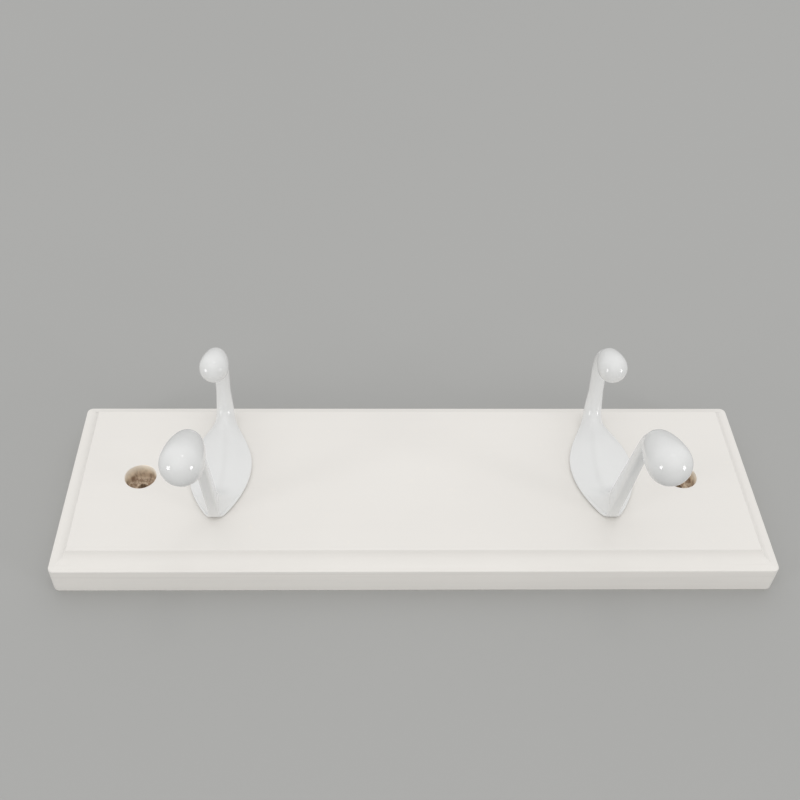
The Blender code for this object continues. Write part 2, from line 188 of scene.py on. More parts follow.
class HookSettings(bpy.types.PropertyGroup):
    """Sizes and finish of the cast hooks."""
    spacing: size("Spacing", "Between the two hooks", 155.8)
    seat_gap: size("Seat gap", "Between a hook and the board", 0.3)
    leaf_tip: size("Leaf tip", "Top of the leaf, measured down from the board's middle", -22.4)
    leaf_widest: size("Leaf widest", "Widest place of the leaf, measured down", 4.2)
    leaf_heel: size("Leaf heel", "Lower end of the leaf, measured down", 34.1)
    leaf_tip_width: size("Leaf tip width", "Width at the top", 5.2)
    leaf_width: size("Leaf width", "Greatest width", 25.4)
    leaf_heel_width: size("Leaf heel width", "Width at the lower end", 9)
    leaf_thickness: size("Leaf thickness", "At the middle of the leaf", 3.6)
    leaf_edge: size("Leaf edge", "Thickness at the leaf's edge", 1.3)
    leaf_rounding: size("Leaf rounding", "How far the leaf's edge is rounded in", 0.8)
    hat_rounding: size("Hat prong rounding", "How far the outer edges of the hat prong are rounded in", 0.9)
    tip_radius: size("Tip radius", "Bend of the back at the tip", 2)
    valley_radius: size("Valley radius", "Bend between the leaf and the hat prong", 10)
    heel_radius: size("Heel radius", "Bend of the back at the heel", 8.5)
    crook_radius: size("Crook radius", "Bend between the leaf and the coat prong", 9)
    hat_rise: angle("Hat prong rise", "Lean of the hat prong from the board", 73.2)
    hat_root: size("Hat prong root", "Length of its foot", 20)
    hat_depth: size("Hat prong depth", "Depth of the hat prong at its foot", 8.5)
    hat_width: size("Hat prong width", "Width of the hat prong", 4.2)
    hat_neck: size("Hat neck", "Depth of the hat prong at its knob", 5)
    hat_out: size("Hat elbow", "Distance of the hat prong's elbow from the board", 61.8)
    hat_elbow: size("Hat elbow radius", "Bend of the hat prong's elbow", 20)
    hat_tilt: angle("Hat knob tilt", "Lean of the hat knob from the board's plane", 19.6)
    hat_reach: size("Hat knob reach", "From the elbow to the knob's tip", 30.1)
    hat_knob: size("Hat knob width", "Greatest width of the hat knob", 14.5)
    hat_nose: size("Hat knob nose", "From the tip to the widest place", 6.7)
    hat_tail: size("Hat knob tail", "From the widest place to the neck", 21.6)
    coat_lean: angle("Coat prong lean", "Lean of the coat prong, downwards from the board's normal", 10.4)
    coat_width: size("Coat prong width", "Width of the coat prong", 6)
    coat_depth: size("Coat prong depth", "Depth of the coat prong", 5.6)
    coat_root: size("Coat prong root", "Length of its foot", 3)
    coat_out: size("Coat elbow", "Distance of the coat prong's elbow from the board", 37.2)
    coat_elbow: size("Coat elbow radius", "Bend of the coat prong's elbow", 12.5)
    coat_tilt: angle("Coat knob tilt", "Lean of the coat knob from the board's plane", 11.6)
    coat_reach: size("Coat knob reach", "From the elbow to the knob's tip", 24.7)
    coat_knob: size("Coat knob width", "Greatest width of the coat knob", 11.3)
    coat_nose: size("Coat knob nose", "From the tip to the widest place", 5.1)
    coat_tail: size("Coat knob tail", "From the widest place to the neck", 13.2)
    enamel: colour("Enamel", "Cool white enamel", 0.768, 0.770, 0.762)


class ScrewSettings(bpy.types.PropertyGroup):
    """Sizes and finish of the screws that hold the hooks."""
    top_inset: size("Top inset", "From the leaf's tip to the upper screw", 6.5)
    bottom_inset: size("Bottom inset", "From the leaf's heel to the lower screw", 7.2)
    sink_depth: size("Sink depth", "Depth of the head's bore in the board's back", 5)
    sink_bore: size("Sink bore", "Bore that takes the head", 8.5)
    hole_bore: size("Hole bore", "Bore for the shank", 4.1)
    head: size("Head", "Diameter of the head", 7)
    head_height: size("Head height", "Height of the pan head", 2.4)
    shank: size("Shank", "Diameter over the thread", 3.5)
    pitch: size("Pitch", "Rise of the thread in a turn", 1.27)
    thread: size("Thread", "Depth of the thread", 0.42)
    grip: size("Grip", "Length of full thread in the hook", 2.7)
    point: size("Point", "Length of the tapered point", 0.8)
    recess: size("Recess", "Depth of the cross recess", 1.3)
    slot: size("Slot", "Width of the recess's arms", 1.0)
    zinc: colour("Zinc", "Bright zinc plate", 0.62, 0.62, 0.60)


class StageSettings(bpy.types.PropertyGroup):
    """Ground, lamps and surroundings."""
    reach: size("Ground", "Half the width of the ground", 3000)
    drop: size("Drop", "Gap between the board's back and the ground", 0.5)
    lamp_size: size("Lamp size", "Diameter of the side lamps", 640)
    lamp_distance: size("Lamp distance", "From the rack to a side lamp", 2200)
    side_power: lighting("Side lamps", "Watts of each side lamp", 9.6, "POWER")
    front_power: lighting("Front lamp", "Watts of the small lamp in front", 0.16, "POWER")
    sky: lighting("Sky", "Strength of the soft light all round", 1.0)
    ground: colour("Ground colour", "Pale ground", 0.40, 0.40, 0.39)


class RackSettings(bpy.types.PropertyGroup):
    """All that a user may change."""
    board: PointerProperty(type=BoardSettings)
    hook: PointerProperty(type=HookSettings)
    screw: PointerProperty(type=ScrewSettings)
    stage: PointerProperty(type=StageSettings)


def grid_faces(rows, columns, around=False):
    """Corner numbers of a grid's cells, points stored row by row; around joins last and first columns."""
    row = np.arange(rows - 1)[:, None]
    column = np.arange(columns if around else columns - 1)[None, :]
    near = row * columns + column
    far = row * columns + (column + 1) % columns
    return np.stack([near, far, far + columns, near + columns], axis=-1).reshape(-1, 4)


def sheet_of(points, around=False, **marks):
    """A grid of points with its faces and its marks, one value for each point."""
    rows, columns = points.shape[:2]
    values = {name: np.broadcast_to(mark, (rows, columns)).ravel() for name, mark in marks.items()}
    return points.reshape(-1, 3), grid_faces(rows, columns, around), values


def add_object(name, data):
    """An object with its data, in the scene."""
    made = bpy.data.objects.new(name, data)
    bpy.context.scene.collection.objects.link(made)
    return made


def make_piece(name, sheets, material, replaced):
    """One closed mesh of several sheets: points that meet are joined, and faces are turned outwards."""
    points, faces, marks = zip(*sheets)
    starts = np.cumsum([0] + [len(part) for part in points])
    mesh = bpy.data.meshes.new(name)
    mesh.from_pydata(np.vstack(points), [], np.vstack([part + start for part, start in zip(faces, starts)]))
    for mark in sorted({key for known in marks for key in known}):
        values = np.concatenate([known.get(mark, np.zeros(len(part))) for part, known in zip(points, marks)])
        mesh.attributes.new(mark, "FLOAT", "POINT").data.foreach_set("value", values.astype(np.float32))
    shape = bmesh.new()
    shape.from_mesh(mesh)
    bmesh.ops.remove_doubles(shape, verts=shape.verts, dist=WELD)
    bmesh.ops.recalc_face_normals(shape, faces=shape.faces)
    shape.to_mesh(mesh)
    shape.free()
    mesh.materials.append(material)
    mesh.shade_smooth()
    mesh.set_sharp_from_angle(angle=CREASE)
    piece = add_object(name, mesh)
    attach(piece, BODY)
    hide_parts(replaced)


def fill(tree, sockets, values):
    """Give named sockets values or other nodes' outputs."""
    for socket, value in values.items():
        if isinstance(value, bpy.types.NodeSocket):
            tree.links.new(value, sockets[socket])
        else:
            sockets[socket].default_value = value


def place_node(tree, kind, inputs=None, **options):
    """Add a shader node, set its options and fill its inputs."""
    made = tree.nodes.new("ShaderNode" + kind)
    for option, value in options.items():
        setattr(made, option, value)
    fill(tree, made.inputs, inputs or {})
    return made


def blend_colours(tree, share, first, second):
    """A colour between two, by a share."""
    return place_node(tree, "Mix", {0: share, 6: first, 7: second}, data_type="RGBA").outputs[2]


def work_out(tree, operation, *values):
    """A sum of two values, or another operation on values."""
    return place_node(tree, "Math", dict(enumerate(values)), operation=operation).outputs[0]


def times(tree, first, second):
    """The product of two values."""
    return work_out(tree, "MULTIPLY", first, second)


def stretch(tree, value, low, high, to_low=0.0, to_high=1.0):
    """A value moved from one range to another, smoothly and without overshoot."""
    inputs = {"Value": value, "From Min": low, "From Max": high, "To Min": to_low, "To Max": to_high}
    return place_node(tree, "MapRange", inputs, interpolation_type="SMOOTHSTEP").outputs[0]


def noise(tree, vector, scale, detail, low, high, **more):
    """A mask from a noise texture, with a range of its values spread to the whole from 0 to 1."""
    inputs = {"Vector": vector, "Scale": scale, "Detail": detail, **more}
    return stretch(tree, place_node(tree, "TexNoise", inputs).outputs[0], low, high)


def start_group(name, inputs, outputs):
    """A shader node group with named sockets: its tree, its inputs and its output node."""
    tree = bpy.data.node_groups.new(name, "ShaderNodeTree")
    for socket, kind in inputs.items():
        tree.interface.new_socket(socket, in_out="INPUT", socket_type=kind)
    for socket in outputs:
        tree.interface.new_socket(socket, in_out="OUTPUT", socket_type="NodeSocketFloat")
    return tree, tree.nodes.new("NodeGroupInput").outputs, tree.nodes.new("NodeGroupOutput").inputs


def drift_group():
    """Cloudy unevenness: Cloud is a wide soft mask, Mottle a fine one, Spot a mask of a few small marks."""
    tree, given, out = start_group("drift", {"Vector": "NodeSocketVector", "Scale": "NodeSocketFloat"},
                                   ("Cloud", "Mottle", "Spot"))
    place, scale = given["Vector"], given["Scale"]
    fill(tree, out, {
        "Cloud": noise(tree, place, scale, 3.0, 0.3, 0.7),
        "Mottle": noise(tree, place, times(tree, scale, 14.0), 5.0, 0.25, 0.75),
        "Spot": noise(tree, place, times(tree, scale, 3.1), 6.0, 0.66, 0.78, Roughness=0.7),
    })
    return tree


def grain_group():
    """Wood grain along X: Lines are fine streaks, Rings are broad bands bent by a slow wave.

    Tears are marks of the drill, drawn out along Y.
    """
    tree, given, out = start_group("grain", {"Vector": "NodeSocketVector"}, ("Lines", "Rings", "Tears"))

    def drawn(*scale):
        """The place, with each axis scaled on its own."""
        return place_node(tree, "Mapping", {"Vector": given["Vector"], "Scale": scale}).outputs[0]

    fill(tree, out, {
        "Lines": noise(tree, drawn(18.0, 900.0, 900.0), 1.0, 4.0, 0.3, 0.72, Roughness=0.6),
        "Rings": noise(tree, drawn(4.0, 160.0, 160.0), 1.0, 2.0, 0.3, 0.7, Distortion=0.6),
        "Tears": noise(tree, drawn(620.0, 170.0, 620.0), 1.0, 4.0, 0.36, 0.66,
                       Roughness=0.65, Distortion=0.4),
    })
    return tree


def use_group(tree, name, inputs):
    """The outputs of a node group placed in a material."""
    group = bpy.data.node_groups.get(name) or {"drift": drift_group, "grain": grain_group}[name]()
    return place_node(tree, "Group", inputs, node_tree=group).outputs


def start_material(name, scale, roughness, metallic=0.0):
    """A material: its tree, its shader's sockets, the object's own coordinates and its unevenness."""
    material = bpy.data.materials.new(name)
    material.use_nodes = True
    tree = material.node_tree
    surface = tree.nodes["Principled BSDF"].inputs
    fill(tree, surface, {"Roughness": roughness, "Metallic": metallic})
    place = place_node(tree, "TexCoord").outputs["Object"]
    return material, tree, surface, place, use_group(tree, "drift", {"Vector": place, "Scale": scale})


def shade(rgb, share):
    """A colour made lighter or darker, with full opacity."""
    return (*(channel * share for channel in rgb), 1.0)


def tinted(tree, mask, rgb, first, second):
    """A colour that drifts between two shares of itself, by a mask."""
    return blend_colours(tree, mask, shade(rgb, first), shade(rgb, second))


def embossed(tree, relief, strength, distance):
    """A surface's normal, turned as if it stood up where a relief is high."""
    return place_node(tree, "Bump", {"Height": relief, "Strength": strength, "Distance": distance}).outputs[0]


def paint_material(board):
    """Warm white satin paint over wood, with soft marks and faint grain that is fuller on the edges.

    The bores are raw wood, with painted shade deeper in and painted light at the mouth.
    """
    material, tree, surface, place, drift = start_material("white_paint", 14.0, 0.33)
    grain = use_group(tree, "grain", {"Vector": place})
    edge, bare, depth = (place_node(tree, "Attribute", attribute_name=name).outputs["Fac"]
                         for name in ("edge", "bare", "depth"))
    coat = tinted(tree, drift["Cloud"], board.paint, 0.985, 1.01)
    marks = times(tree, drift["Spot"], 0.10)
    coat = blend_colours(tree, marks, coat, shade(board.paint, 0.55))
    streaks = times(tree, times(tree, grain["Lines"], grain["Rings"]),
                    stretch(tree, edge, 0.0, 1.0, 0.012, 0.17))
    coat = blend_colours(tree, streaks, coat, shade(board.paint, 0.60))
    raw = tinted(tree, grain["Rings"], board.wood, 1.06, 0.92)
    tears = times(tree, grain["Tears"], 0.55)
    raw = blend_colours(tree, tears, raw, shade(board.wood, 0.55))
    # painted shade: the raw wood darkens deeper in the bore, in streaks that follow the drill's tears
    deep_shade = times(tree, stretch(tree, depth, 0.4, 0.8), stretch(tree, grain["Tears"], 0.0, 1.0, 0.35, 0.75))
    raw = blend_colours(tree, deep_shade, raw, PAINTED_SHADE_WOOD)
    # painted light: the raw wood is paler near the bore's mouth, where more light falls
    raw = blend_colours(tree, stretch(tree, depth, 0.1, 0.5, 0.85, 0.0), raw, PAINTED_LIGHT_WOOD)
    ragged = work_out(tree, "ADD", bare, work_out(tree, "MULTIPLY_ADD", drift["Mottle"], 0.8, -0.4))
    torn = stretch(tree, ragged, 0.35, 0.6)
    gloss = stretch(tree, drift["Cloud"], 0.0, 1.0, 0.30, 0.37)
    lines = times(tree, grain["Lines"], stretch(tree, edge, 0.0, 1.0, 0.15, 1.0))
    mottle = times(tree, drift["Mottle"], 0.25)
    fill(tree, surface, {
        "Base Color": blend_colours(tree, torn, coat, raw),
        "Roughness": place_node(tree, "Mix", {0: torn, 2: gloss, 3: 0.85}).outputs[0],
        "Normal": embossed(tree, work_out(tree, "ADD", lines, mottle), 0.12, 0.2 * MM),
    })
    return material


def enamel_material(hook):
    """Cool white enamel on a casting: glossy, with a faint unevenness of the coat."""
    material, tree, surface, _, drift = start_material("white_enamel", 40.0, 0.06)
    tone = tinted(tree, drift["Cloud"], hook.enamel, 0.985, 1.01)
    marks = times(tree, drift["Spot"], 0.06)
    fill(tree, surface, {
        "Base Color": blend_colours(tree, marks, tone, shade(hook.enamel, 0.5)),
        "Roughness": stretch(tree, drift["Mottle"], 0.0, 1.0, 0.04, 0.08),
        "Normal": embossed(tree, drift["Mottle"], 0.02, 0.2 * MM),
    })
    return material


def zinc_material(screw):
    """Bright zinc plate, a little cloudy, darker where it has dulled."""
    material, tree, surface, _, drift = start_material("zinc_plate", 220.0, 0.3, 1.0)
    fill(tree, surface, {
        "Base Color": tinted(tree, drift["Cloud"], screw.zinc, 0.8, 1.08),
        "Roughness": stretch(tree, drift["Mottle"], 0.0, 1.0, 0.22, 0.42),
        "Normal": embossed(tree, drift["Mottle"], 0.08, 0.1 * MM),
    })
    return material


def ground_material(stage, board):
    """Pale plain ground that lets light and sight pass from behind.

    Light also passes under the board, save at the wall holes, and over gaps of less than a millimetre.
    """
    material, tree, surface, place, drift = start_material("ground", 2.0, 0.8)
    behind = place_node(tree, "NewGeometry").outputs["Backfacing"]
    ray = place_node(tree, "LightPath").outputs["Ray Length"]
    axes = place_node(tree, "SeparateXYZ", {0: place}).outputs
    across, along = (work_out(tree, "ABSOLUTE", axes[axis]) for axis in (0, 2))
    margin = 2 * stage.drop
    inside = times(tree, work_out(tree, "LESS_THAN", across, board.length / 2 - margin),
                   work_out(tree, "LESS_THAN", along, board.height / 2 - margin))
    from_hole = work_out(tree, "SUBTRACT", across, board.hole_spacing / 2)
    squares = work_out(tree, "ADD", times(tree, from_hole, from_hole), times(tree, along, along))
    apart = work_out(tree, "SQRT", squares)
    hole = work_out(tree, "LESS_THAN", apart, board.hole_bore / 2 + margin)
    under = work_out(tree, "SUBTRACT", inside, hole)
    touching = work_out(tree, "LESS_THAN", ray, margin)
    clear = work_out(tree, "MAXIMUM", behind, work_out(tree, "MAXIMUM", under, touching))
    fill(tree, surface, {
        "Base Color": tinted(tree, drift["Cloud"], stage.ground, 0.99, 1.01),
        "Alpha": work_out(tree, "SUBTRACT", 1.0, clear),
    })
    return material


def outline(length, height, corner, inset, across, up):
    """A ring of points (x, z) round the board, set in from its outline.

    Straight sides with given stations join corner arcs, whose radius is what the inset leaves of the corner.
    """
    radius = max(corner - inset, 0.0)
    half_x, half_z = length / 2 - inset, height / 2 - inset
    turn = np.linspace(0, pi / 2, CORNER_STEPS)
    sides = []
    quarters = (up, 1, 1), (across[::-1], -1, 1), (up[::-1], -1, -1), (across, 1, -1)
    for quarter, (straight, x, z) in enumerate(quarters):
        # each quarter is the straight side that ends in a corner, then that corner's arc
        if quarter % 2 == 0:
            sides.append(np.column_stack([np.full(len(straight), x * half_x), straight]))
        else:
            sides.append(np.column_stack([straight, np.full(len(straight), z * half_z)]))
        swing = turn + quarter * pi / 2
        sides.append(np.column_stack([x * (half_x - radius) + radius * np.cos(swing),
                                      z * (half_z - radius) + radius * np.sin(swing)]))
    return np.vstack(sides)


def board_profile(board):
    """Profile of the board's edge from back to front, as insets and heights above the wall.

    The cove is an arc hollowed from outside, through the rim and the front face. Three small arcs soften the
    back edge, the rim and the arris; each touches its neighbours without a corner.
    """
    radius = (board.cove_run ** 2 + board.cove_drop ** 2) / (2 * board.cove_drop)
    middle = board.thickness - board.cove_drop + radius
    back, rim, arris = board.back_edge, board.rim, board.arris
    turn = np.linspace(0, pi / 2, ROUND_STEPS)
    rim_start = asin(rim / (radius + rim))
    rim_height = middle - sqrt((radius + rim) ** 2 - rim ** 2)
    rim_turn = np.linspace(pi / 2, rim_start, ROUND_STEPS)
    cove_end = acos((middle + arris - board.thickness) / (radius + arris))
    cove = np.linspace(rim_start, cove_end, COVE_STEPS)[1:]
    roll = np.linspace(cove_end, 0, ROUND_STEPS)[1:]
    inset = np.concatenate([[max(board.corner, back)], back - back * np.sin(turn),
                            rim - rim * np.sin(rim_turn), radius * np.sin(cove),
                            (radius + arris) * sin(cove_end) - arris * np.sin(roll)])
    height = np.concatenate([[0.0], back - back * np.cos(turn), rim_height + rim * np.cos(rim_turn),
                             middle - radius * np.cos(cove), board.thickness - arris + arris * np.cos(roll)])
    edge = (height > back) & (height < rim_height + rim / 2) & (inset < rim)
    return inset, height, edge.astype(float)


def window_ring(x, z, half):
    """Points (x, z) on the border of a square window, corner by corner."""
    step = np.linspace(-half, half, WINDOW_CELLS + 1)[:-1]
    full = np.full(WINDOW_CELLS, half)
    sides = (step, -full), (full, step), (-step, full), (-full, -step)
    return np.vstack([np.column_stack(side) for side in sides]) + (x, z)


def circle(x, z, radius):
    """As many points (x, z) on a circle as a window's border has, from the same corner."""
    turn = -3 * pi / 4 + np.linspace(0, 2 * pi, 4 * WINDOW_CELLS, endpoint=False)
    return np.column_stack([x + radius * np.cos(turn), z + radius * np.sin(turn)])


def lift(ring, height):
    """Points (x, z) at a height above the wall, as points in space."""
    out = np.broadcast_to(-np.asarray(height, float), ring.shape[:-1])
    return np.stack([ring[..., 0], out, ring[..., 1]], axis=-1)


def plate_sheets(half_x, half_z, across, up, height, windows):
    """A flat face with round holes: a grid of cells, less each window's.

    A window's cells are replaced by rows of points that pass from its square border to its circle.
    """
    xs = np.concatenate([[-half_x], across, [half_x]])
    zs = np.concatenate([[-half_z], up, [half_z]])
    points, faces, marks = sheet_of(lift(np.stack(np.meshgrid(xs, zs), axis=-1), height))
    middle = points[faces].mean(axis=1)
    kept = np.ones(len(faces), bool)
    sheets = []
    for place_x, place_z, half, radius in windows:
        kept &= np.maximum(abs(middle[:, 0] - place_x), abs(middle[:, 2] - place_z)) > half
        share = np.linspace(0, 1, WINDOW_ROWS)[:, None, None]
        rows = (1 - share) * window_ring(place_x, place_z, half) + share * circle(place_x, place_z, radius)
        sheets.append(sheet_of(lift(rows, height), around=True))
    return [(points, faces[kept], marks)] + sheets


def bore_sheet(x, z, line, bare, depth):
    """A bore turned from a line of radii and heights, marked with how bare and how deep it is."""
    radius, height = line.T
    ring = circle(0, 0, 1.0)[None] * radius[:, None, None] + (x, z)
    return sheet_of(lift(ring, height[:, None]), around=True, bare=bare[:, None], depth=depth[:, None])


def stepped_bore(outer, inner, lip, top, floor, bottom, side):
    """Line of a counterbore: a soft lip, a wide wall, a floor and a narrow bore through to the other face.

    Heights run from top to floor and on to bottom; side is 1 where top is the higher face, -1 where it is the
    lower. Each point is marked with how bare and how deep it is.
    """
    turn = np.linspace(0, pi / 2, ROUND_STEPS)
    wall = np.linspace(top - side * lip, floor + side * lip, ROUND_STEPS)[1:]
    ledge = np.linspace(outer - lip, inner, ROUND_STEPS)[1:]
    through = np.linspace(floor, bottom + side * lip / 2, ROUND_STEPS)[1:]
    radius = np.concatenate([outer + lip - lip * np.sin(turn), np.full(len(wall), outer),
                             outer - lip * (1 - np.cos(turn[1:])), ledge,
                             np.full(len(through), inner), [inner + lip / 2]])
    height = np.concatenate([top - side * lip * (1 - np.cos(turn)), wall,
                             floor + side * lip * (1 - np.sin(turn[1:])), np.full(len(ledge), floor),
                             through, [bottom]])
    bare = np.concatenate([np.linspace(0, 1, ROUND_STEPS), np.ones(len(radius) - ROUND_STEPS - 1), [0]])
    fall = abs(height - top) / abs(floor - top)
    return np.column_stack([radius, height]), bare, np.where(fall > 1 + WELD, 1.0, fall * FLOOR_DEPTH)


def hook_places(hook):
    """The side's name and X of each hook."""
    return (("left", -hook.spacing / 2), ("right", hook.spacing / 2))


def screw_places(hook, screw):
    """The end's name and Z of each hook's screws."""
    return (("top", -hook.leaf_tip - screw.top_inset), ("bottom", -hook.leaf_heel + screw.bottom_inset))


def board_sheets(board, hook, screw):
    """The painted board: the edge's profile carried round its outline, two faces with windows, six bores."""
    thick = board.thickness
    wall_bore = stepped_bore(board.sink_bore / 2, board.hole_bore / 2, board.lip, thick,
                             thick - board.sink_depth, 0, 1)
    screw_bore = stepped_bore(screw.sink_bore / 2, screw.hole_bore / 2, board.lip, 0,
                              screw.sink_depth, thick, -1)
    bores = [(side * board.hole_spacing / 2, 0.0, WALL_WINDOW * board.sink_bore, wall_bore)
             for side in (-1, 1)]
    bores += [(x, z, SCREW_WINDOW * screw.sink_bore, screw_bore)
              for _, x in hook_places(hook) for _, z in screw_places(hook, screw)]
    stations = np.linspace(-1, 1, WINDOW_CELLS + 1)
    across = np.unique(np.concatenate([x + half * stations for x, _, half, _ in bores]).round(9))
    up = np.unique(np.concatenate([z + half * stations for _, z, half, _ in bores]).round(9))
    inset, height, edge = board_profile(board)
    rings = np.stack([outline(board.length, board.height, board.corner, step, across, up) for step in inset])
    sheets = [sheet_of(lift(rings, height[:, None]), around=True, edge=edge[:, None])]
    ends = {0.0: (inset[0], []), thick: (inset[-1], [])}
    for x, z, half, (line, bare, depth) in bores:
        sheets.append(bore_sheet(x, z, line, bare, depth))
        for radius, level in (line[0], line[-1]):
            ends[level][1].append((x, z, half, radius))
    for level, (step, windows) in ends.items():
        sheets += plate_sheets(board.length / 2 - step, board.height / 2 - step, across, up, level, windows)
    return sheets


def unit(vector):
    """The direction of a vector."""
    return vector / np.hypot(*vector)


def filleted(corners, radii):
    """A line through corner points whose inner corners are arcs of the given radii."""
    points = [corners[0]]
    for before, corner, after, radius in zip(corners, corners[1:], corners[2:], radii):
        back, ahead = unit(before - corner), unit(after - corner)
        half = np.arccos(np.clip(back @ ahead, -1, 1)) / 2
        centre = corner + unit(back + ahead) * radius / sin(half)
        start = corner + back * radius / tan(half) - centre
        end = corner + ahead * radius / tan(half) - centre
        sweep = atan2(start[0] * end[1] - start[1] * end[0], start @ end)
        turn = np.linspace(0, sweep, ARC_STEPS)[:, None]
        points.extend(centre + start * np.cos(turn) + np.array([-start[1], start[0]]) * np.sin(turn))
    points.append(corners[-1])
    return np.array(points)


def lengths(path):
    """The distance along a path at each of its points."""
    return np.concatenate([[0], np.cumsum(np.hypot(*np.diff(path, axis=0).T))])


def walk(path, distance):
    """Points at given distances along a path."""
    return np.column_stack([np.interp(distance, lengths(path), axis) for axis in path.T])


def ease(at, knots, values):
    """A smooth cubic curve through values at knots that never overshoots them."""
    knots, values = np.asarray(knots, float), np.asarray(values, float)
    step = np.diff(knots)
    rise = np.diff(values) / step
    same = rise[:-1] * rise[1:] > 0
    total = np.where(same, rise[:-1] + rise[1:], 1)
    slope = np.concatenate([rise[:1], np.where(same, 2 * rise[:-1] * rise[1:] / total, 0), rise[-1:]])
    k = np.clip(np.searchsorted(knots, at, side="right") - 1, 0, len(step) - 1)
    t = np.clip((at - knots[k]) / step[k], 0, 1)
    return (values[k] * (1 + 2 * t) * (1 - t) ** 2 + slope[k] * step[k] * t * (1 - t) ** 2
            + values[k + 1] * t ** 2 * (3 - 2 * t) - slope[k + 1] * step[k] * t ** 2 * (1 - t))


def leaf_half_width(hook, down):
    """Half the leaf's width: a power of a sine from the tip to the widest place, then of a cosine's S."""
    up = np.clip((down - hook.leaf_tip) / (hook.leaf_widest - hook.leaf_tip), 0, 1)
    low = np.clip((down - hook.leaf_widest) / (hook.leaf_heel - hook.leaf_widest), 0, 1)
    rounded = np.sin(pi / 2 * up) ** LEAF_UPPER_POWER
    curved = ((1 + np.cos(pi * low)) / 2) ** LEAF_LOWER_POWER
    upper = hook.leaf_tip_width + (hook.leaf_width - hook.leaf_tip_width) * rounded
    lower = hook.leaf_heel_width + (hook.leaf_width - hook.leaf_heel_width) * curved
    return np.where(down < hook.leaf_widest, upper, lower) / 2


def egg(distance, width, nose, tail):
    """Radius of an egg at a distance from its tip: half an ellipse for the nose, a longer half for the tail.

    Where the halves meet, the smaller of the two shares of their lengths is taken with a rounded corner, and
    the shares are spread again to run from -1 at the tip to 1 at the neck.
    """
    def share(s):
        """The smaller share at a distance, with its corner rounded."""
        short, long = (s - nose) / nose, (s - nose) / tail
        return (short + long) / 2 - np.sqrt(((short - long) / 2) ** 2 + EGG_BLEND ** 2)

    first, last = share(0), share(nose + tail)
    along = np.clip(2 * (share(np.clip(distance, 0, nose + tail)) - first) / (last - first) - 1, -1, 1)
    return width / 2 * np.sqrt(1 - along ** 2)


def soft_max(a, b):
    """The larger of two sizes, rounded where they cross."""
    return (a ** NECK_BLEND + b ** NECK_BLEND) ** (1 / NECK_BLEND)


def prong(tip, elbow, root, bend, width, nose, tail, neck, depth, breadth):
    """Rails and sizes of a prong from its knob's tip to its root: outer, inner, half width and roundness.

    The knob is an egg about a line that bends once; behind it the egg gives way to a neck of steady width.
    """
    spine = filleted([tip, elbow, root], [bend])
    front = nose * (1 - np.cos(np.linspace(0, pi / 2, NOSE_SECTIONS)))
    back = nose + tail * np.sin(np.linspace(0, pi / 2, TAIL_SECTIONS))[1:]
    foot = np.linspace(nose + tail, lengths(spine)[-1], FOOT_SECTIONS)[1:]
    distance = np.concatenate([front, back, foot])
    centre = walk(spine, distance)
    ahead = walk(spine, distance + TANGENT_STEP) - walk(spine, distance - TANGENT_STEP)
    ahead = ahead / np.hypot(*ahead.T)[:, None]
    side = np.column_stack([-ahead[:, 1], ahead[:, 0]])
    girth = egg(distance, width, nose, tail)
    half_depth = ease(distance, [nose, nose + tail, distance[-1]], [neck / 2, neck / 2, depth / 2])
    deep = np.where(distance > nose, soft_max(girth, half_depth), girth)[:, None]
    wide = np.where(distance > nose, soft_max(girth, breadth / 2), girth)
    round_share = ease(distance, [0, nose + KNOB_SHARE * tail, nose + tail], [1, 1, HAT_ROUNDNESS])
    return centre - side * deep, centre + side * deep, wide, round_share


def leaning(lean):
    """The direction (down, out) towards the upper edge that leans out from the board by an angle."""
    return np.array([-cos(lean), sin(lean)])


def out_to(start, way, out):
    """The point of a line that lies at a distance out from the board."""
    return start + way * (out - start[1]) / way[1]


def hook_corners(hook):
    """The corner points (down, out) of the hook's two rails and of its prongs' middle lines."""
    rise = leaning(hook.hat_rise)
    inward = np.array([rise[1], -rise[0]])
    tip = np.array([hook.leaf_tip, 0.0])
    middle = tip + inward * hook.hat_depth / 2
    hat_elbow = out_to(middle, rise, hook.hat_out)
    hat_tip = hat_elbow + leaning(hook.hat_tilt) * hook.hat_reach
    valley = out_to(tip + inward * hook.hat_depth, rise, hook.leaf_thickness)
    heel = np.array([hook.leaf_heel, 0.0])
    lean = np.array([sin(hook.coat_lean), cos(hook.coat_lean)])
    outward = np.array([lean[1], -lean[0]])
    coat_middle = heel - outward * hook.coat_depth / 2
    crook = out_to(heel - outward * hook.coat_depth, lean, hook.leaf_thickness)
    coat_elbow = out_to(coat_middle, lean, hook.coat_out)
    coat_tip = coat_elbow + leaning(hook.coat_tilt) * hook.coat_reach
    coat_root = out_to(coat_middle, lean, hook.leaf_thickness + hook.crook_radius + hook.coat_root)
    return {
        "hat": (hat_tip, hat_elbow, middle + rise * hook.hat_root),
        "coat": (coat_tip, coat_elbow, coat_root),
        "inward": inward, "tip": tip, "valley": valley, "outward": outward, "heel": heel, "crook": crook,
    }


